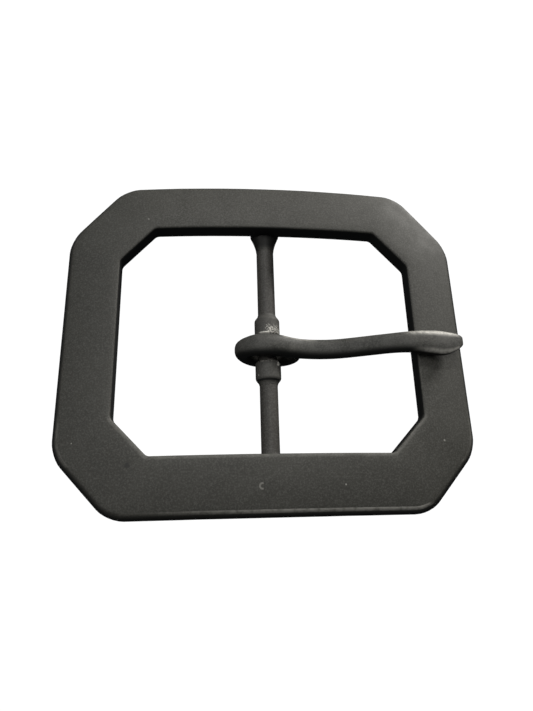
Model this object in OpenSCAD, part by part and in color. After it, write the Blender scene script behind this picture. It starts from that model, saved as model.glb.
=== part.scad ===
// Centre-bar belt buckle: an arched octagonal frame, a round bar behind it with two stop collars,
// and a bent tongue that turns on the bar between them.
// The origin is the middle of the bar, on its axis. +X runs to the tongue's tip, +Y along the bar and
// +Z out of the front of the belt. All sizes are in millimetres.

/* [Frame] */
// Width of the frame, along the belt
frame_w = 70.2; // [69:0.2:73]
// Height of the frame, across the belt
frame_h = 59.1; // [58:0.1:62]
// Width of the opening
opening_w = 51.1; // [49:0.1:51.6]
// Height of the opening, for a strap 38 to 40 wide
opening_h = 40; // [39:0.2:41]
// Length along X that each outer corner is cut back
outer_cut_x = 9.6; // [8:0.2:11]
// Length along Y that each outer corner is cut back
outer_cut_y = 10.2; // [8:0.2:12]
// Length along X that each corner of the opening is cut back
inner_cut_x = 5.9; // [5:0.1:7]
// Length along Y that each corner of the opening is cut back
inner_cut_y = 6.1; // [5:0.1:7]
// Radius that rounds the outer corners in plan
outer_corner_r = 6; // [3:0.5:8]
// Radius that rounds the opening's corners in plan
inner_corner_r = 1; // [0.5:0.25:1.5]
// Thickness of the rails
rail_t = 3.2; // [3:0.1:3.4]
// Radius of the arch that the whole frame is bent to, about the Y axis
arch_r = 200; // [170:10:240]
// Distance that the domed face falls from the opening to the outer edge
dome_drop = 1.2; // [0.8:0.1:1.4]

/* [Bar and collars] */
// Diameter of the bar
bar_d = 3.1; // [3:0.1:3.2]
// Depth of the bar's axis behind the front rim of the opening
bar_depth = 4.8; // [4.8:0.1:5.2]
// Diameter of the stop collars
collar_d = 4.4; // [4.2:0.1:4.6]
// Length of each stop collar with its sloping shoulder
collar_l = 4.0; // [3.6:0.1:4.4]
// Clear gap between the two collars
collar_gap = 4.7; // [4.5:0.1:5]
// Place along the bar of the middle of the gap between the collars
tongue_y = -1.45; // [-2:0.05:0]

/* [Tongue] */
// Width of the tongue's eye along the bar
eye_w = 3.8; // [3.5:0.1:3.9]
// Length of the eye's oval outline, along X
eye_l = 11.9; // [11.5:0.1:12.1]
// Height of the eye's outline above the bar's axis
eye_top = 4.45; // [4.4:0.05:4.7]
// Depth of the eye's outline below the bar's axis
eye_bottom = 4.95; // [4.6:0.05:5.1]
// Radial running clearance of the eye on the bar
eye_clearance = 0.08; // [0.04:0.01:0.1]
// Width of the shank
shank_w = 3.35; // [3.2:0.05:3.6]
// Thickness of the shank
shank_t = 2.8; // [2.6:0.1:2.9]
// Width of the flattened tip
tip_w = 4.1; // [3.9:0.1:4.2]

/* [Hidden] */
$fn = 64;

// Height of the front rim of the opening above the bar's axis
rim_z = bar_depth;
// Rounding of the opening's front edge
rim_r = 0.45;
// Width and height of the rounded outer edge
edge_run = 0.9;
edge_fall = 1.1;
// Rounding of the back's outer edge
back_r = 0.35;
// Steps of the arc at each corner, of the dome and of each rounded edge
corner_steps = 5;
dome_steps = 6;
edge_steps = 4;
// Steps of each rounded edge that is turned about the bar's axis
round_steps = 6;
// Longest stretch of a straight rail between two rings of the sweep
rail_step = 6;

// Lugs: a flared boss of revolution about the bar's axis at each end, cut flat at the back and kept
// under the rail's face. The far one's flare reaches out from the rail and the near one's does not.
lug_r = 2.6;
lug_step = 0.05;
far_flare = 3.2;
near_flare = 1.4;
flare_power = 1.5;
flare_steps = 8;
lug_root_y = opening_h / 2 + 0.8;
lug_end_y = opening_h / 2 + 6;
lug_round = 1.2;
lug_back_z = -2.1;
lug_top_z = rim_z - 1;
socket_depth = 3.5;
bar_l = 2 * (opening_h / 2 + socket_depth);
socket_play = 0.005;

// Collars: the shoulder slopes down to the bar in an S over shoulder_l and ends in a low lip
shoulder_l = 1.2;
shoulder_lip = 0.06;
shoulder_steps = 10;
collar_rim = 0.25;

paint_black = [0.16, 0.16, 0.15];
paint_bar = [0.19, 0.19, 0.18];
paint_collar = [0.24, 0.24, 0.23];
paint_tongue = [0.30, 0.30, 0.29];

// ---- shared geometry ----

function unit(v) = v / norm(v);
function arch_fall(x) = arch_r - sqrt(arch_r * arch_r - x * x);
function span(a, b, k, n) = a + (b - a) * k / n;

// The eight corners of an octagon of half-sizes hx and hy, with its corners cut back by cx and cy,
// counter-clockwise from the lower end of the right-hand side
function octagon(hx, hy, cx, cy) = [
    [hx, -hy + cy], [hx, hy - cy], [hx - cx, hy], [cx - hx, hy],
    [-hx, hy - cy], [-hx, cy - hy], [cx - hx, -hy], [hx - cx, -hy]
];

// Outward normal of the side that leaves corner i
function side_normal(pts, i) =
    let (d = unit(pts[(i + 1) % 8] - pts[i % 8])) [d[1], -d[0]];

// Arc of corner_steps + 1 points that rounds corner i with radius r
function corner_arc(pts, i, r) =
    let (n1 = side_normal(pts, i + 7), n2 = side_normal(pts, i),
         centre = pts[i] - r * (n1 + n2) / (1 + n1 * n2),
         a1 = atan2(n1[1], n1[0]), turn = acos(n1 * n2))
    [for (k = [0 : corner_steps]) let (a = a1 + turn * k / corner_steps)
        centre + r * [cos(a), sin(a)]];

// Points round the whole outline, with each straight side divided as side i of the frame needs
function outline(pts, r, parts) = [
    for (i = [0 : 7])
        let (arc = corner_arc(pts, i, r), next = corner_arc(pts, (i + 1) % 8, r), last = arc[corner_steps])
        each concat(arc, [for (k = [1 : 1 : parts[i] - 1]) span(last, next[0], k, parts[i])])
];

// Closed skin over rings of points that share one count: a torus when loop is true, else capped
module skin(rings, loop) {
    n = len(rings);
    m = len(rings[0]);
    last = loop ? n - 1 : n - 2;
    sides = [for (i = [0 : last], j = [0 : m - 1])
        let (a = i * m + j, b = i * m + (j + 1) % m,
             c = ((i + 1) % n) * m + (j + 1) % m, d = ((i + 1) % n) * m + j)
        each [[a, c, b], [a, d, c]]];
    ends = loop ? [] : [
        [for (j = [0 : m - 1]) j],
        [for (j = [m - 1 : -1 : 0]) (n - 1) * m + j]
    ];
    polyhedron([for (ring = rings) each ring], concat(sides, ends), convexity = 8);
}

// ---- frame ----

inner_pts = octagon(opening_w / 2, opening_h / 2, inner_cut_x, inner_cut_y);
outer_pts = octagon(frame_w / 2, frame_h / 2, outer_cut_x, outer_cut_y);
side_parts = [for (i = [0 : 7])
    max(1, ceil(abs(outer_pts[(i + 1) % 8][0] - outer_pts[i][0]) / rail_step))];
inner_line = outline(inner_pts, inner_corner_r, side_parts);
outer_line = outline(outer_pts, outer_corner_r, side_parts);

// Cross-section of a rail of width w, as [distance from the opening, height over the rim]: up the
// inner wall, over the domed face, round the outer edge and back
function rail_section(w) =
    let (flat = w - rim_r - edge_run)
    concat(
        [[0, -rail_t]],
        [for (k = [0 : edge_steps]) let (a = 180 - 90 * k / edge_steps)
            [rim_r + rim_r * cos(a), -rim_r + rim_r * sin(a)]],
        [for (k = [1 : dome_steps]) let (s = k / dome_steps)
            [rim_r + flat * s, -dome_drop * s * s]],
        [for (k = [1 : edge_steps]) let (a = 90 - 90 * k / edge_steps)
            [w - edge_run + edge_run * cos(a), -dome_drop - edge_fall + edge_fall * sin(a)]],
        [[w, -rail_t + back_r], [w - back_r, -rail_t]]
    );

function rail_ring(inner, outer) =
    let (w = norm(outer - inner), d = (outer - inner) / w)
    [for (p = rail_section(w)) let (q = inner + d * p[0]) [q[0], q[1], rim_z + p[1] - arch_fall(q[0])]];

// Profile of a lug as [radius, distance from the middle of the frame]: a neck that flares to the rail
neck_r = bar_d / 2 + lug_step;
function lug_profile(flare) = concat(
    [[0, lug_root_y - flare]],
    [for (k = [0 : flare_steps]) let (s = k / flare_steps)
        [neck_r + (lug_r - neck_r) * pow(s, flare_power), lug_root_y - flare * (1 - s)]],
    [for (k = [0 : round_steps]) let (a = 90 * k / round_steps)
        [lug_r - lug_round * (1 - cos(a)), lug_end_y - lug_round * (1 - sin(a))]],
    [[0, lug_end_y]]
);

module along_bar() { rotate([-90, 0, 0]) children(); }

module lugs() {
    intersection() {
        union() {
            along_bar() rotate_extrude() polygon(lug_profile(far_flare));
            mirror([0, 1, 0]) along_bar() rotate_extrude() polygon(lug_profile(near_flare));
        }
        translate([-2 * lug_r, -frame_h / 2, lug_back_z])
            cube([4 * lug_r, frame_h, lug_top_z - lug_back_z]);
    }
}

module frame() {
    color(paint_black) difference() {
        union() {
            skin([for (i = [0 : len(inner_line) - 1]) rail_ring(inner_line[i], outer_line[i])], true);
            lugs();
        }
        along_bar() cylinder(r = bar_d / 2 + socket_play, h = bar_l, center = true);
    }
}

// ---- bar and collars ----

module centre_bar() {
    color(paint_bar) along_bar() cylinder(d = bar_d, h = bar_l, center = true);
}

// A collar on the bar: its rim faces the tongue at distance 0 and its shoulder slopes away from it
shoulder_drop = (collar_d - bar_d) / 2 - shoulder_lip;
collar_profile = concat(
    [[bar_d / 2, 0], [collar_d / 2 - collar_rim, 0], [collar_d / 2, collar_rim]],
    [for (k = [0 : shoulder_steps]) let (s = k / shoulder_steps)
        [collar_d / 2 - shoulder_drop * (1 - cos(180 * s)) / 2, collar_l - shoulder_l * (1 - s)]],
    [[bar_d / 2, collar_l]]
);

module collar() {
    along_bar() translate([0, 0, collar_gap / 2]) rotate_extrude() polygon(collar_profile);
}

module far_collar() {
    color(paint_collar) translate([0, tongue_y, 0]) collar();
}

module near_collar() {
    color(paint_collar) translate([0, tongue_y, 0]) mirror([0, 1, 0]) collar();
}

// ---- tongue ----

// Place and size of the shank's section along its length:
// [x, height of its middle, thickness, width, offset along the bar]
shank_rows = [
    [0, 3.05, shank_t, eye_w - 0.1, 0],
    [2.2, 2.3, shank_t, eye_w - 0.2, 0],
    [4, 1.35, shank_t, shank_w + 0.1, 0],
    [6, 0.75, shank_t, shank_w, 0],
    [9, 0.5, shank_t, shank_w, 0],
    [12.5, 0.95, shank_t, shank_w, 0],
    [17, 2.55, shank_t, shank_w, 0],
    [21, 4.0, shank_t, shank_w, 0],
    [24, 4.75, shank_t, shank_w + 0.2, -0.05],
    [27, 4.5, shank_t - 0.1, tip_w - 0.1, -0.05],
    [29.8, 4.15, shank_t - 0.5, tip_w + 0.1, -0.1],
    [32, 3.9, shank_t - 1, tip_w - 0.9, 0.15],
    [33.5, 3.75, shank_t - 1.8, 1.5, 0.45]
];
shank_steps = 3;
section_points = 16;
// Power of the superellipse: 1 is an ellipse, and less is squarer
section_power = 0.85;

// Smooth curve through the rows: Catmull-Rom between row i and row i + 1
function row(i) = shank_rows[max(0, min(len(shank_rows) - 1, i))];
function curve(i, t) =
    let (a = row(i - 1), b = row(i), c = row(i + 1), d = row(i + 2))
    0.5 * (2 * b + (c - a) * t + (2 * a - 5 * b + 4 * c - d) * t * t + (3 * b - a - 3 * c + d) * t * t * t);
shank_curve = concat(
    [for (i = [0 : len(shank_rows) - 2], k = [0 : shank_steps - 1]) curve(i, k / shank_steps)],
    [row(len(shank_rows) - 1)]
);

// Superellipse section, upright to the curve
function sgn_pow(v, e) = sign(v) * pow(abs(v), e);
function shank_ring(i) =
    let (p = shank_curve[i], n = len(shank_curve),
         a = shank_curve[max(0, i - 1)], b = shank_curve[min(n - 1, i + 1)],
         t = unit([b[0] - a[0], b[1] - a[1]]))
    [for (k = [0 : section_points - 1])
        let (g = 360 * k / section_points,
             u = p[3] / 2 * sgn_pow(cos(g), section_power), v = p[2] / 2 * sgn_pow(sin(g), section_power))
        [p[0] - t[1] * v, tongue_y + p[4] + u, p[1] + t[0] * v]];

eye_x = 0.15;
root_cut = 1.3;
eye_r = 1.4;
eye_steps = 5;
eye_points = 48;
eye_cutter_l = 4 * eye_w;
// One layer of the eye's rounded oval, inset from the full outline, at distance y from its middle.
// The quarter under the shank's root is shorter, so that the shank leaves it along one smooth line.
function eye_layer(inset, y) = [for (k = [0 : eye_points - 1])
    let (a = 360 * k / eye_points,
         reach = k > 0 && k < eye_points / 4 ? eye_l / 2 - root_cut : eye_l / 2,
         rise = sin(a) > 0 ? eye_top : eye_bottom)
    [eye_x + (reach - inset) * cos(a), tongue_y + y, (rise - inset) * sin(a)]];
eye_layers = [for (side = [1, -1], k = [0 : eye_steps])
    let (a = side > 0 ? 90 * (1 - k / eye_steps) : 90 * k / eye_steps)
    eye_layer(eye_r * (1 - cos(a)), side * (eye_w / 2 - eye_r + eye_r * sin(a)))];

module tongue() {
    color(paint_tongue) difference() {
        union() {
            skin([for (i = [0 : len(shank_curve) - 1]) shank_ring(i)], false);
            skin(eye_layers, false);
        }
        along_bar() cylinder(r = bar_d / 2 + eye_clearance, h = eye_cutter_l, center = true);
    }
}

frame();
centre_bar();
far_collar();
near_collar();
tongue();
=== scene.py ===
import math

import bmesh
import bpy
from mathutils import Matrix, Vector, noise


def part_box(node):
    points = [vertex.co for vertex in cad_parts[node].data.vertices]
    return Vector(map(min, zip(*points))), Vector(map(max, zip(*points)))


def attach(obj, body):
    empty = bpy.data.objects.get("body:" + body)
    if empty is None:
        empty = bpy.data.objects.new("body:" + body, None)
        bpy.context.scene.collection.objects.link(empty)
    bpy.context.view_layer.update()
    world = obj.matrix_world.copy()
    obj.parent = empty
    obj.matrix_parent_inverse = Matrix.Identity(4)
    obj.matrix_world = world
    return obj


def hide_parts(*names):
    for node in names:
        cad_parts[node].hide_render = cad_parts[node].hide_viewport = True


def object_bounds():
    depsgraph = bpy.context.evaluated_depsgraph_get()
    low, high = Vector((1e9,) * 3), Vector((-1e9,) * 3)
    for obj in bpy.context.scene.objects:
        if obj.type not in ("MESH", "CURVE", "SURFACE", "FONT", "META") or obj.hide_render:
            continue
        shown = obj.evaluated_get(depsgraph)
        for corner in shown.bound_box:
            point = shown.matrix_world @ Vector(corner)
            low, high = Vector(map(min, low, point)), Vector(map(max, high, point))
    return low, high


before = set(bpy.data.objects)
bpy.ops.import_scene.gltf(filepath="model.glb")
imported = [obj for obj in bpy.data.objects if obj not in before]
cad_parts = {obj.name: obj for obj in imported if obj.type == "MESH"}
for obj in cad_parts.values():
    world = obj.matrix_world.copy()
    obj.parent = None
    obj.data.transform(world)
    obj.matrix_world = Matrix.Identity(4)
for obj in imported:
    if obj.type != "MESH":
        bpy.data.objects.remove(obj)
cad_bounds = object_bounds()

# ---- Frame ----
# The frame is one zinc die casting: an octagon of flat rails, domed across their width and arched
# along the belt, with a flared lug under each long rail that holds an end of the bar.
# It is sprayed with matt black paint all over, and the paint has a few small chips in it.
MM = 0.001

frame_low, frame_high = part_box("frame")
rail_half_x = frame_high.x
rail_half_y = frame_high.y
opening_half_x = 25.55 * MM
opening_half_y = 20.0 * MM
outer_cut = (9.6 * MM, 10.2 * MM)
inner_cut = (5.9 * MM, 6.1 * MM)
outer_corner_run = 2.5 * MM
inner_corner_run = 0.45 * MM
corner_parts = 6
front_rim_z = 4.8 * MM
rail_thickness = 3.2 * MM
back_z = front_rim_z - rail_thickness
dome_drop = 1.2 * MM
dome_run = 9.5 * MM
dome_rows = 6
side_parts = 12
shortest_side = 4 * MM
arch_radius = 200 * MM
rim_round = 0.42 * MM
rim_reach = 2 * MM
outer_chamfer = 0.95 * MM
crest_round = 0.22 * MM
back_round = 0.35 * MM


def link_mesh(bm, name):
    """The finished bmesh as a smooth-shaded object in the scene."""
    mesh = bpy.data.meshes.new(name)
    bm.to_mesh(mesh)
    bm.free()
    mesh.polygons.foreach_set("use_smooth", [True] * len(mesh.polygons))
    mesh.set_sharp_from_angle(angle=math.radians(50))
    piece = bpy.data.objects.new(name, mesh)
    bpy.context.scene.collection.objects.link(piece)
    return piece


def join_into(bm, part):
    """Adds the mesh of a finished part to bm."""
    mesh = bpy.data.meshes.new("part")
    part.to_mesh(mesh)
    part.free()
    bm.from_mesh(mesh)
    bpy.data.meshes.remove(mesh)


def octagon(half_x, half_y, cut, corner_run):
    """The outline of an octagon whose corners are rounded over corner_run."""
    flat_x, flat_y = half_x - cut[0], half_y - cut[1]
    corners = [
        (half_x, -flat_y), (half_x, flat_y), (flat_x, half_y), (-flat_x, half_y),
        (-half_x, flat_y), (-half_x, -flat_y), (-flat_x, -half_y), (flat_x, -half_y),
    ]
    outline = bmesh.new()
    verts = [outline.verts.new((x, y, 0)) for x, y in corners]
    outline.faces.new(verts)
    bmesh.ops.bevel(
        outline, geom=verts, offset=corner_run, offset_type="OFFSET", segments=corner_parts,
        profile=0.5, affect="VERTICES", material=-1,
    )
    plate = max(outline.faces, key=lambda face: len(face.verts))
    bmesh.ops.delete(outline, geom=[plate], context="FACES_ONLY")
    return outline


def beyond_opening(point):
    """Whether a point on a rim is on the outer one, and not on the opening's."""
    return abs(point.x) > opening_half_x + rim_reach or abs(point.y) > opening_half_y + rim_reach


def rim_edges(bm, z, outside):
    """The edges at height z that run round the outside of the frame, or round its opening."""
    same_height = 1e-7
    wall_slope = 0.5
    found = []
    for edge in bm.edges:
        level = all(abs(v.co.z - z) < same_height for v in edge.verts)
        if not level or len(edge.link_faces) != 2:
            continue
        by_wall = any(abs(face.normal.z) < wall_slope for face in edge.link_faces)
        middle = (edge.verts[0].co + edge.verts[1].co) / 2
        if by_wall and beyond_opening(middle) == outside:
            found.append(edge)
    return found


def bevel_rim(bm, edges, width, segments):
    """Rounds or chamfers a rim over the given width, and gives back what it made."""
    return bmesh.ops.bevel(
        bm, geom=edges, offset=width, offset_type="OFFSET", segments=segments, profile=0.5,
        affect="EDGES", material=-1, clamp_overlap=True, loop_slide=True,
    )


bm = octagon(opening_half_x, opening_half_y, inner_cut, inner_corner_run)
join_into(bm, octagon(rail_half_x, rail_half_y, outer_cut, outer_corner_run))
bmesh.ops.bridge_loops(bm, edges=list(bm.edges))

bm.verts.layers.float.new("across")
bm.verts.layers.float.new("highlight_line")
across, highlight_line = bm.verts.layers.float["across"], bm.verts.layers.float["highlight_line"]
for v in bm.verts:
    v[across] = 1.0 if beyond_opening(v.co) else 0.0

# Straight sides are divided for the arch, and each rail in rows for its dome
long_edges = [e for e in bm.edges if e.is_boundary and e.calc_length() > shortest_side]
bmesh.ops.subdivide_edges(bm, edges=long_edges, cuts=side_parts - 1, use_grid_fill=True)
cross_edges = [e for e in bm.edges if e.verts[0][across] != e.verts[1][across]]
bmesh.ops.subdivide_edges(bm, edges=cross_edges, cuts=dome_rows - 1, use_grid_fill=True)
for v in bm.verts:
    v.co.z = front_rim_z - dome_drop * v[across] ** 2

# Walls down to the flat back
open_edges = [e for e in bm.edges if e.is_boundary]
walls = bmesh.ops.extrude_edge_only(bm, edges=open_edges)
foot_verts = [g for g in walls["geom"] if isinstance(g, bmesh.types.BMVert)]
foot_edges = [g for g in walls["geom"] if isinstance(g, bmesh.types.BMEdge)]
for v in foot_verts:
    v.co.z = back_z
bmesh.ops.bridge_loops(bm, edges=foot_edges)
bmesh.ops.recalc_face_normals(bm, faces=list(bm.faces))

# The opening's rim is rounded, and the outer edge is chamfered, with a small round on its crest
rim = bevel_rim(bm, rim_edges(bm, front_rim_z, False), rim_round, 4)
chamfered = bevel_rim(bm, rim_edges(bm, front_rim_z - dome_drop, True), outer_chamfer, 1)
crest_z = front_rim_z - dome_drop - outer_chamfer / 2
crest_angle = math.radians(20)
crest_edges = [
    e for e in chamfered["edges"]
    if e.is_valid and e.calc_face_angle(0) > crest_angle and all(v.co.z > crest_z for v in e.verts)
]
crest = bevel_rim(bm, crest_edges, crest_round, 3)
# These rim and crest lines carry a painted highlight
for v in rim["verts"] + crest["verts"]:
    v[highlight_line] = 1.0
bevel_rim(bm, rim_edges(bm, back_z, True), back_round, 3)
bevel_rim(bm, rim_edges(bm, back_z, False), back_round / 2, 2)

# Arch along the belt, and the small unevenness that hand polishing leaves before painting
swell_size = 9 * MM
swell_height = 0.035 * MM
ripple_size = 7 * MM
ripple_depth = 0.05 * MM
ripple_row = 3.1
edge_band = 2 * MM
for v in bm.verts:
    v.co.z -= arch_radius - math.sqrt(arch_radius**2 - v.co.x**2)
    v.co.z += noise.noise(v.co / swell_size) * swell_height
    if abs(v.co.y) > rail_half_y - edge_band:
        ripple = abs(noise.noise(Vector((v.co.x / ripple_size, ripple_row, 0)))) * ripple_depth
        v.co.y -= math.copysign(ripple, v.co.y)

# Lugs: round bosses about the bar's axis, cut flat at the back and under the rail's face
lug_radius = 2.6 * MM
lug_neck = 1.6 * MM
lug_flare_end = 20.8 * MM
far_flare = 3.2 * MM
near_flare = 1.4 * MM
flare_steps = 12
flare_power = 1.5
lug_end = 26.0 * MM
lug_corner = 1.2 * MM
lug_corner_steps = 6
lug_sides = 48
lug_back_z = frame_low.z
lug_front_z = front_rim_z - 1.0 * MM
weld_gap = 0.001 * MM


def turned_lug(side, flare):
    """A lug turned about the bar's axis from its profile of (radius, distance along the bar)."""
    start = lug_flare_end - flare
    profile = [(0.0, start)]
    for k in range(flare_steps + 1):
        part = k / flare_steps
        profile.append((lug_neck + (lug_radius - lug_neck) * part**flare_power, start + flare * part))
    for k in range(lug_corner_steps + 1):
        turn = math.radians(90 * k / lug_corner_steps)
        radius = lug_radius - lug_corner * (1 - math.cos(turn))
        profile.append((radius, lug_end - lug_corner * (1 - math.sin(turn))))
    profile.append((0.0, lug_end))
    lug = bmesh.new()
    verts = [lug.verts.new((radius, side * y, 0)) for radius, y in profile]
    edges = [lug.edges.new(pair) for pair in zip(verts, verts[1:])]
    bmesh.ops.spin(
        lug, geom=verts + edges, cent=(0, 0, 0), axis=(0, 1, 0), angle=2 * math.pi,
        steps=lug_sides, use_merge=True,
    )
    bmesh.ops.remove_doubles(lug, verts=list(lug.verts), dist=weld_gap)
    return lug


for side, flare in ((1, far_flare), (-1, near_flare)):
    lug = turned_lug(side, flare)
    for plane_z, outward in ((lug_back_z, -1), (lug_front_z, 1)):
        cut = bmesh.ops.bisect_plane(
            lug, geom=list(lug.verts) + list(lug.edges) + list(lug.faces),
            plane_co=(0, 0, plane_z), plane_no=(0, 0, outward), clear_outer=True,
        )
        cut_edges = [g for g in cut["geom_cut"] if isinstance(g, bmesh.types.BMEdge)]
        if cut_edges:
            bmesh.ops.edgeloop_fill(lug, edges=cut_edges)
    bmesh.ops.recalc_face_normals(lug, faces=list(lug.faces))
    join_into(bm, lug)

buckle_frame = link_mesh(bm, "buckle_frame")


class Coat:
    """A coat of paint as a material, with short ways to add and join its shader nodes."""

    def __init__(self, name):
        self.material = bpy.data.materials.new(name)
        self.material.use_nodes = True
        self.tree = self.material.node_tree
        self.tree.nodes.clear()
        where = self.add("ShaderNodeTexCoord").outputs
        self.position = where["Object"]
        self.x, self.y, self.z = self.add("ShaderNodeSeparateXYZ", {"Vector": self.position}).outputs
        self.normal = self.add("ShaderNodeSeparateXYZ", {"Vector": where["Normal"]}).outputs
        self.wobble = self.noise(0.35 * MM)

    def add(self, kind, inputs=None, **settings):
        """A node with its settings, and with each input given a value or joined to a socket."""
        node = self.tree.nodes.new(kind)
        for key, value in settings.items():
            setattr(node, key, value)
        for key, value in (inputs or {}).items():
            if isinstance(value, bpy.types.NodeSocket):
                self.tree.links.new(value, node.inputs[key])
            else:
                node.inputs[key].default_value = value
        return node

    def noise(self, size, detail=2.0, roughness=0.5):
        """Soft random grey whose patches are about size across."""
        settings = {
            "Vector": self.position, "Scale": 1 / size, "Detail": detail, "Roughness": roughness,
        }
        return self.add("ShaderNodeTexNoise", settings).outputs["Fac"]

    def span(self, value, low, high, to_low=0.0, to_high=1.0):
        """A value that goes smoothly from to_low at low to to_high at high."""
        limits = {
            "Value": value, "From Min": low, "From Max": high, "To Min": to_low, "To Max": to_high,
        }
        made = self.add("ShaderNodeMapRange", limits, interpolation_type="SMOOTHSTEP")
        return made.outputs["Result"]

    def math(self, operation, *values):
        made = self.add("ShaderNodeMath", dict(enumerate(values)), operation=operation)
        return made.outputs["Value"]

    def times(self, first, *others):
        for other in others:
            first = self.math("MULTIPLY", first, other)
        return first

    def most(self, first, *others):
        for other in others:
            first = self.math("MAXIMUM", first, other)
        return first

    def mix(self, factor, a, b):
        """Colour a, going over to colour b: sockets 0, 6, 7 and 2 are the ones for colours."""
        return self.add("ShaderNodeMix", {0: factor, 6: a, 7: b}, data_type="RGBA").outputs[2]

    def attribute(self, name):
        return self.add("ShaderNodeAttribute", attribute_name=name).outputs["Fac"]

    def near(self, point, radius):
        """1 at a point on the piece, fading to 0 over a ragged edge about radius away."""
        gap = self.add(
            "ShaderNodeVectorMath", {0: self.position, 1: point}, operation="DISTANCE",
        ).outputs["Value"]
        ragged = self.math("ADD", gap, self.times(self.wobble, radius * 1.2))
        return self.span(ragged, radius * 1.9, radius * 1.2)

    def curl(self, point, radius, width):
        """A C-shaped scratch round a point, open towards +X."""
        away = self.add(
            "ShaderNodeVectorMath", {0: self.position, 1: point}, operation="SUBTRACT",
        ).outputs["Vector"]
        length = self.add("ShaderNodeVectorMath", {0: away}, operation="LENGTH").outputs["Value"]
        off_line = self.math("ABSOLUTE", self.math("SUBTRACT", length, radius))
        away_x = self.add("ShaderNodeSeparateXYZ", {"Vector": away}).outputs["X"]
        mouth = self.span(away_x, radius * 0.5, radius * 0.1)
        return self.times(self.span(off_line, width, width * 0.3), mouth)

    def surface(self, shader):
        """Ends the tree with a shader's output."""
        self.add("ShaderNodeOutputMaterial", {"Surface": shader})


paint_black = (0.034, 0.0335, 0.0285, 1)
paint_cloud = (0.042, 0.0415, 0.0355, 1)
# The metal's grey, also used to paint highlights
bare_metal_and_highlight = (0.62, 0.605, 0.56, 1)
grain_pale = (0.090, 0.088, 0.081, 1)
# Near black, for painted shade and painted shadow
painted_shade_black = (0.0085, 0.009, 0.0085, 1)
smudge_black = (0.018, 0.018, 0.017, 1)
grain_size = 0.28 * MM
grain_strength = 0.75
peel_size = 1.1 * MM
gloss_size = 2.2 * MM
chip_strength = 0.45
smudge_strength = 0.85
metal_strength = 0.3
metal_polish = 0.12
paint_sheen = 0.42
bump_strength = 0.22
bump_height = 0.05 * MM


def black_paint(
    name, dark, light, chips=(), wear_and_highlight=None, smudge=None, gloss=(0.58, 0.64), cloud_size=6 * MM, painted_shade_mask=None,
):
    """Black paint with grain, clouding, chips down to the metal, rubbed places, painted highlights and
    painted shade.
    """
    coat = Coat(name)
    cloud = coat.span(coat.noise(cloud_size, 3.0, 0.6), 0.3, 0.7)
    grain = coat.noise(grain_size, 3.0, 0.7)
    colour = coat.mix(cloud, dark, light)
    colour = coat.mix(coat.times(coat.span(grain, 0.40, 0.72), grain_strength), colour, grain_pale)
    # Painted shade: places that the lights leave dark are painted near black
    if painted_shade_mask:
        colour = coat.mix(painted_shade_mask(coat), colour, painted_shade_black)
    if smudge:
        colour = coat.mix(coat.times(coat.near(*smudge), smudge_strength), colour, smudge_black)
    roughness = coat.span(coat.noise(gloss_size), 0.3, 0.7, *gloss)
    height = coat.math("ADD", coat.times(grain, 0.6), coat.noise(peel_size, 1.0))
    bump = coat.add(
        "ShaderNodeBump", {"Height": height, "Strength": bump_strength, "Distance": bump_height},
    )
    look = {"Normal": bump.outputs["Normal"], "Specular IOR Level": paint_sheen}
    # Chips and rubbed places take the metal's grey, and so do the painted highlights
    bare_and_highlight_places = [coat.times(coat.near(point, radius), chip_strength) for point, radius in chips]
    if wear_and_highlight:
        bare_and_highlight_places.append(wear_and_highlight(coat))
    if bare_and_highlight_places:
        bare_and_highlight = coat.most(*bare_and_highlight_places)
        colour = coat.mix(bare_and_highlight, colour, bare_metal_and_highlight)
        roughness = coat.math("SUBTRACT", roughness, coat.times(bare_and_highlight, metal_polish))
        look["Metallic"] = coat.times(bare_and_highlight, metal_strength)
    look.update({"Base Color": colour, "Roughness": roughness})
    coat.surface(coat.add("ShaderNodeBsdfPrincipled", look).outputs["BSDF"])
    return coat.material


def on_face(x, y):
    """A point on the frame's painted face, above x and y given in millimetres."""
    x, y = x * MM, y * MM
    beyond = max(abs(x) - opening_half_x, abs(y) - opening_half_y)
    rise = min(1.0, max(0.0, beyond / dome_run))
    fall = arch_radius - math.sqrt(arch_radius**2 - x**2)
    return (x, y, front_rim_z - dome_drop * rise**2 - fall)


frame_chips = [
    (on_face(11.2, -24.9), 0.14 * MM),
    (on_face(28.75, -17.9), 0.2 * MM),
    (on_face(30.0, -19.3), 0.1 * MM),
    (on_face(-31.5, -17.6), 0.12 * MM),
    (on_face(-20.9, 21.9), 0.1 * MM),
]
frame_smudge = (on_face(-22.5, -21.4), 0.45 * MM)
scratch_middle = on_face(-1.84, -24.91)
scratch_radius = 0.42 * MM
scratch_width = 0.2 * MM
crest_highlight = 0.42
rim_highlight = 0.08
scratch_wear = 0.22


def frame_highlight_and_scratch(coat):
    """Painted highlight lines along the near crest, stronger to the right, and round the opening's near
    rim; and a scratch.
    """
    near_rail = coat.span(coat.y, -27.5 * MM, -28.2 * MM)
    toward_right = coat.span(coat.x, -26 * MM, 4 * MM)
    near_rim = coat.times(
        coat.span(coat.y, -12 * MM, -15 * MM), coat.span(coat.y, -21.5 * MM, -21 * MM),
    )
    amount = coat.math(
        "ADD", coat.times(near_rail, toward_right, crest_highlight), coat.times(near_rim, rim_highlight),
    )
    highlight_mask = coat.span(coat.attribute("highlight_line"), 0.75, 0.98)
    patchy = coat.span(coat.noise(1.3 * MM, 3.0, 0.6), 0.3, 0.6, 0.35, 1.0)
    scratch = coat.curl(scratch_middle, scratch_radius, scratch_width)
    return coat.most(coat.times(highlight_mask, amount, patchy), coat.times(scratch, scratch_wear))


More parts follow.
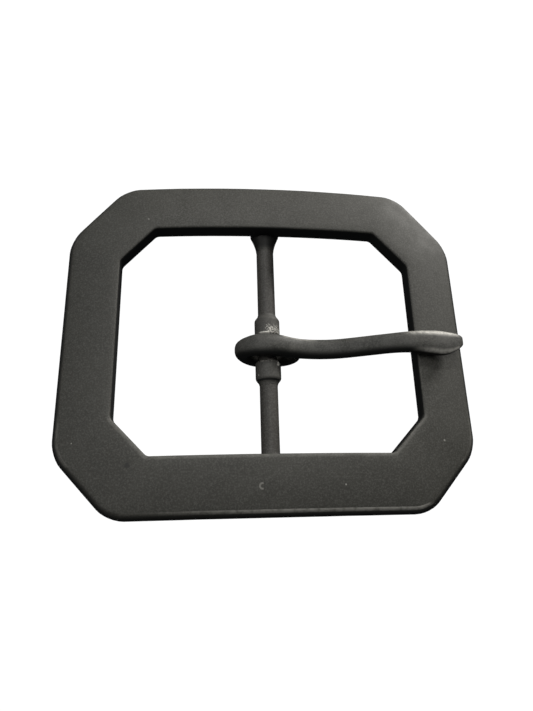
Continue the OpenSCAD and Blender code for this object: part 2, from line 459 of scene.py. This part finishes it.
def frame_painted_shade(coat):
    """Painted shade on the upright walls, and a painted shadow on the far lug under its rail."""
    # A painted shadow, where the far rail shades the lug
    far_lug_shadow = coat.times(
        coat.span(coat.y, 17.4 * MM, 18.6 * MM), coat.span(coat.y, 20.3 * MM, 20.0 * MM),
        coat.span(coat.math("ABSOLUTE", coat.x), 5 * MM, 4 * MM),
    )
    return coat.most(coat.span(coat.normal["Z"], 0.72, 0.4), far_lug_shadow)


frame_paint = black_paint(
    "frame_paint", paint_black, paint_cloud, chips=frame_chips, wear_and_highlight=frame_highlight_and_scratch, smudge=frame_smudge,
    painted_shade_mask=frame_painted_shade,
)
buckle_frame.data.materials.append(frame_paint)
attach(buckle_frame, "buckle")
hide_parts("frame")

# ---- Centre bar ----
# A round steel bar across the opening that the strap is folded round, pressed into the lugs at both
# ends. Its paint is a little browner than the frame's.
bar_dark = (0.030, 0.028, 0.025, 1)
bar_light = (0.043, 0.040, 0.036, 1)


def repaint(node, material):
    """A CAD node whose shape is right keeps it, and takes the finished material."""
    node.data.materials.clear()
    node.data.materials.append(material)


repaint(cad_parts["centre_bar"], black_paint("bar_paint", bar_dark, bar_light, gloss=(0.55, 0.65)))

# ---- Collars ----
# Two short steel collars, turned and pressed on the bar, keep the tongue between them. The tongue's
# eye has rubbed the far one to bright metal on its front and at its rim, and nicked the near one.
far_low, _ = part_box("far_collar")
_, near_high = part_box("near_collar")
collar_dark = (0.044, 0.043, 0.039, 1)
collar_light = (0.060, 0.058, 0.053, 1)


def far_rub(coat):
    """Flecks of metal over the front right of the collar, and a crescent on its rim to the left."""
    beside_eye = coat.span(coat.y, far_low.y + 2.7 * MM, far_low.y + 0.9 * MM)
    front = coat.span(coat.z, 0.3 * MM, 1.0 * MM)
    right = coat.span(coat.x, -1.2 * MM, 0.1 * MM)
    place = coat.times(front, right, beside_eye)
    speckle = coat.math("ADD", coat.noise(0.25 * MM, 4.0, 0.8), coat.times(place, 0.13))
    flecks = coat.times(place, coat.span(speckle, 0.59, 0.72))
    rim = coat.span(coat.y, far_low.y + 0.5 * MM, far_low.y + 0.34 * MM)
    rim_front = coat.span(coat.z, 0.6 * MM, 1.1 * MM)
    rim_left = coat.times(
        coat.span(coat.x, 0.35 * MM, 0.05 * MM), coat.span(coat.x, -1.75 * MM, -1.2 * MM),
    )
    return coat.most(flecks, coat.times(rim, rim_front, rim_left))


def near_rub(coat):
    """A thin pale line round the rim beside the tongue, a knock on its right and a dent on its left."""
    rim = coat.span(coat.y, near_high.y - 0.34 * MM, near_high.y - 0.2 * MM)
    line = coat.times(rim, coat.span(coat.noise(0.5 * MM), 0.35, 0.6, 0.05, 0.26))
    knock = coat.near((1.62 * MM, near_high.y - 0.62 * MM, 1.48 * MM), 0.36 * MM)
    dent = coat.near((-1.8 * MM, near_high.y - 2.5 * MM, 1.27 * MM), 0.16 * MM)
    return coat.most(line, knock, coat.times(dent, 0.3))


def near_collar_painted_shade(coat):
    """Painted shade: a dark line along the slope down to the bar, which lies in shadow."""
    step_y = near_high.y - 3.35 * MM
    off_line = coat.math("ABSOLUTE", coat.math("SUBTRACT", coat.y, step_y))
    return coat.span(off_line, 0.2 * MM, 0.1 * MM)


far_paint = black_paint("far_collar_paint", collar_dark, collar_light, wear_and_highlight=far_rub)
near_paint = black_paint("near_collar_paint", collar_dark, collar_light, wear_and_highlight=near_rub, painted_shade_mask=near_collar_painted_shade)
repaint(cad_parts["far_collar"], far_paint)
repaint(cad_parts["near_collar"], near_paint)

# ---- Tongue ----
# One forged steel rod, painted black. Its root is bent round into an eye that turns on the bar, its
# shank sags and rises again to the rail, and its tip is hammered flat and wider, with its paint
# rubbed grey along both edges. Those edges and the shank's far edge carry a painted highlight, and
# the faces turned to the near collar carry painted shade.
tongue_middle = -1.45 * MM
rod_parts = 3
section_corner = 0.42
section_corner_parts = 6
ridge_angle = 38
ridge_spread = 34
tongue_dark = (0.026, 0.026, 0.023, 1)
tongue_light = (0.062, 0.061, 0.056, 1)
shank_chip = ((4.8 * MM, -2.95 * MM, 0.75 * MM), 0.14 * MM)

# Stations along the rod, from the lip of the eye round the bar and out to the tip:
# (x, z, thickness, width, offset along the bar), in millimetres
rod_stations = [
    (5.05, -0.15, 1.6, 3.3, 0), (4.7, -1.2, 2.3, 3.6, 0), (3.7, -2.35, 2.7, 3.8, 0),
    (2.2, -3.15, 2.85, 3.8, 0), (0.4, -3.5, 2.9, 3.8, 0), (-1.5, -3.3, 2.85, 3.8, 0),
    (-3.1, -2.45, 2.75, 3.6, 0), (-4.15, -1.1, 2.75, 3.2, 0), (-4.35, 0.35, 2.75, 3.05, 0),
    (-3.75, 1.6, 2.75, 3.2, 0), (-2.5, 2.6, 2.75, 3.55, 0), (-1.0, 3.03, 2.8, 3.75, 0),
    (0.6, 2.92, 2.8, 3.7, 0), (2.3, 2.27, 2.8, 3.6, 0), (4.0, 1.4, 2.8, 3.45, 0),
    (6.0, 0.78, 2.8, 3.35, 0), (9.0, 0.5, 2.8, 3.35, 0), (12.5, 0.95, 2.8, 3.35, 0),
    (17.0, 2.55, 2.8, 3.35, 0), (21.0, 4.0, 2.8, 3.35, 0), (24.0, 4.75, 2.8, 3.55, -0.05),
    (27.0, 4.5, 2.7, 4.0, -0.05), (29.8, 4.15, 2.3, 4.2, -0.1), (32.0, 3.9, 1.8, 3.2, 0.15),
    (33.1, 3.8, 1.3, 2.1, 0.35), (33.5, 3.75, 0.9, 1.4, 0.45),
]


def rod_curve(parts):
    """The stations joined by a smooth curve, with parts steps from each to the next."""
    rows = [Vector(station) for station in rod_stations]
    made = []
    for i in range(len(rows) - 1):
        a, b = rows[max(i - 1, 0)], rows[i]
        c, d = rows[i + 1], rows[min(i + 2, len(rows) - 1)]
        for k in range(parts):
            t = k / parts
            straight = 2 * b + (c - a) * t
            bend = (2 * a - 5 * b + 4 * c - d) * t * t
            twist = (3 * b - a - 3 * c + d) * t**3
            made.append(0.5 * (straight + bend + twist))
    made.append(rows[-1])
    return made


rod = rod_curve(rod_parts)


def section_matrix(i):
    """Takes the unit section to its place, size and slope at step i of the rod."""
    x, z, thickness, width, offset = rod[i]
    before, after = rod[max(i - 1, 0)], rod[min(i + 1, len(rod) - 1)]
    along = Vector((after[0] - before[0], 0, after[1] - before[1])).normalized()
    up = Vector((0, 1, 0)).cross(along) * -1
    place = Matrix.Translation((x * MM, tongue_middle + offset * MM, z * MM))
    turn = Matrix(((0, up.x, along.x), (1, 0, 0), (0, up.z, along.z))).to_4x4()
    return place @ turn @ Matrix.Diagonal((width * MM, thickness * MM, 1, 1))


bm = bmesh.new()
bmesh.ops.create_grid(bm, x_segments=1, y_segments=1, size=0.5)
bmesh.ops.bevel(
    bm, geom=list(bm.verts), offset=section_corner, offset_type="OFFSET",
    segments=section_corner_parts, profile=0.5, affect="VERTICES", material=-1,
)
ridge = bm.verts.layers.float.new("ridge")
for v in bm.verts:
    angle = math.degrees(math.atan2(v.co.y, abs(v.co.x)))
    v[ridge] = max(0.0, 1 - abs(angle - ridge_angle) / ridge_spread)
last_matrix = section_matrix(0)
bmesh.ops.transform(bm, matrix=last_matrix, verts=list(bm.verts))
leading = list(bm.edges)
for i in range(1, len(rod)):
    grown = bmesh.ops.extrude_edge_only(bm, edges=leading)
    ring = [g for g in grown["geom"] if isinstance(g, bmesh.types.BMVert)]
    leading = [g for g in grown["geom"] if isinstance(g, bmesh.types.BMEdge)]
    next_matrix = section_matrix(i)
    bmesh.ops.transform(bm, matrix=next_matrix @ last_matrix.inverted(), verts=ring)
    last_matrix = next_matrix
bmesh.ops.edgeloop_fill(bm, edges=leading)
bmesh.ops.recalc_face_normals(bm, faces=list(bm.faces))

# The tip's top is hammered flat, which raises a faint ridge along each long edge
hammered_from = 21 * MM
hammered_run = 5 * MM
ridge_out = 0.12 * MM
ridge_up = 0.1 * MM
forge_mark_size = 2.5 * MM
forge_mark_depth = 0.03 * MM
for v in bm.verts:
    toward_tip = min(1.0, max(0.0, (v.co.x - hammered_from) / hammered_run))
    v.co.y += math.copysign(ridge_out, v.co.y - tongue_middle) * v[ridge] * toward_tip
    v.co.z += ridge_up * v[ridge] * toward_tip
    v.co.z += noise.noise(v.co / forge_mark_size) * forge_mark_depth

buckle_tongue = link_mesh(bm, "buckle_tongue")


def tongue_rub_and_highlight(coat):
    """Tip edges rubbed grey with a painted highlight, the far one broader, and a painted highlight on the
    shank by the eye.
    """
    edge = coat.attribute("ridge")
    far_side = coat.span(coat.y, tongue_middle + 0.1 * MM, tongue_middle + 0.6 * MM)
    near_side = coat.math("SUBTRACT", 1.0, far_side)
    before_end = coat.span(coat.x, 33.0 * MM, 32.4 * MM)
    far_band = coat.times(
        coat.span(edge, 0.05, 0.75), coat.span(coat.x, 22 * MM, 25 * MM, 0.0, 0.62),
    )
    near_band = coat.times(
        coat.span(edge, 0.3, 0.95), coat.span(coat.x, 23.5 * MM, 27 * MM, 0.0, 0.6),
    )
    bands = coat.math("ADD", coat.times(far_side, far_band), coat.times(near_side, near_band))
    by_eye = coat.times(
        coat.span(coat.x, 1.6 * MM, 3 * MM), coat.span(coat.x, 9 * MM, 6 * MM, 0.0, 0.5),
    )
    # A painted highlight along the shank's far edge
    shank_highlight = coat.times(coat.span(edge, 0.4, 0.95), by_eye, far_side)
    patchy = coat.span(coat.noise(1.2 * MM, 4.0, 0.7), 0.32, 0.62, 0.4, 1.0)
    return coat.times(coat.math("ADD", coat.times(bands, before_end), shank_highlight), patchy)


def tongue_painted_shade(coat):
    """Painted shade on the side and the inside of the eye towards the near collar."""
    return coat.span(coat.normal["Y"], -0.2, -0.75)


tongue_paint = black_paint(
    "tongue_paint", tongue_dark, tongue_light, chips=[shank_chip], wear_and_highlight=tongue_rub_and_highlight,
    cloud_size=2.4 * MM, painted_shade_mask=tongue_painted_shade,
)
buckle_tongue.data.materials.append(tongue_paint)
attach(buckle_tongue, "prong")
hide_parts("tongue")

# ---- Table top ----
# A plain white sheet that the buckle lies on, lit evenly from within. Only the camera sees it, so it
# throws neither light nor shadow on the paint.
sheet_size = 3.0
sheet_gap = 0.05 * MM
sheet_glow = 1.05
sheet_bm = bmesh.new()
bmesh.ops.create_grid(sheet_bm, x_segments=1, y_segments=1, size=sheet_size)
bmesh.ops.translate(sheet_bm, vec=(0, 0, cad_bounds[0].z - sheet_gap), verts=list(sheet_bm.verts))
table_top = link_mesh(sheet_bm, "table_top")
white = Coat("white_sheet")
glow = white.add("ShaderNodeEmission", {"Color": (1, 1, 1, 1), "Strength": sheet_glow})
white.surface(glow.outputs["Emission"])
table_top.data.materials.append(white.material)
table_top.visible_diffuse = False
table_top.visible_glossy = False
table_top.visible_shadow = False

# ---- Lights ----
# A soft box overhead, a small window on the far side, a bright low one at the far right that rakes
# the dome, a weak one on the left, and a faint patch of sky at the far left.
room_colour = (0.9, 0.95, 1.0, 1)
room_glow = 0.035
warm_white = (1.0, 0.985, 0.95)
low_sun = (1.0, 0.975, 0.93)
sky_blue = (0.9, 0.96, 1.0)
bpy.context.scene.view_settings.view_transform = "Standard"
world = bpy.data.worlds.new("studio")
world.use_nodes = True
world.node_tree.nodes["Background"].inputs["Color"].default_value = room_colour
world.node_tree.nodes["Background"].inputs["Strength"].default_value = room_glow
bpy.context.scene.world = world


def soft_light(name, place, size, power, colour):
    """A rectangular light at place, in metres, that faces the middle of the buckle."""
    lamp = bpy.data.lights.new(name, "AREA")
    lamp.shape = "RECTANGLE"
    lamp.size, lamp.size_y = size
    lamp.energy = power
    lamp.color = colour
    light = bpy.data.objects.new(name, lamp)
    light.location = place
    light.rotation_euler = (-Vector(place)).to_track_quat("-Z", "Y").to_euler()
    bpy.context.scene.collection.objects.link(light)


soft_light("overhead_box", (0.03, 0.10, 0.72), (0.25, 0.25), 1.5, warm_white)
soft_light("far_window", (0.0, 0.42, 0.50), (0.10, 0.10), 1.15, warm_white)
soft_light("far_right_window", (0.43, 0.47, 0.13), (0.2, 0.12), 3.6, low_sun)
soft_light("left_window", (-0.42, -0.06, 0.42), (0.2, 0.2), 0.5, warm_white)
soft_light("far_left_sky", (-0.35, 0.30, 0.46), (0.2, 0.2), 0.4, sky_blue)

# ---- Camera ----
# A close, hand-held view from above and a little to the near left, through a 28 mm lens on a
# full-size sensor, with everything in focus.
lens = bpy.data.cameras.new("camera")
lens.sensor_width = 36.0
lens.lens = 28.0
lens.clip_start = 0.005
lens.clip_end = 20.0
lens.dof.use_dof = False
camera = bpy.data.objects.new("camera", lens)
camera.location = (-9.38 * MM, -32.83 * MM, 90.55 * MM)
camera.rotation_euler = tuple(math.radians(a) for a in (18.64, -5.24, -1.59))
bpy.context.scene.collection.objects.link(camera)
bpy.context.scene.camera = camera
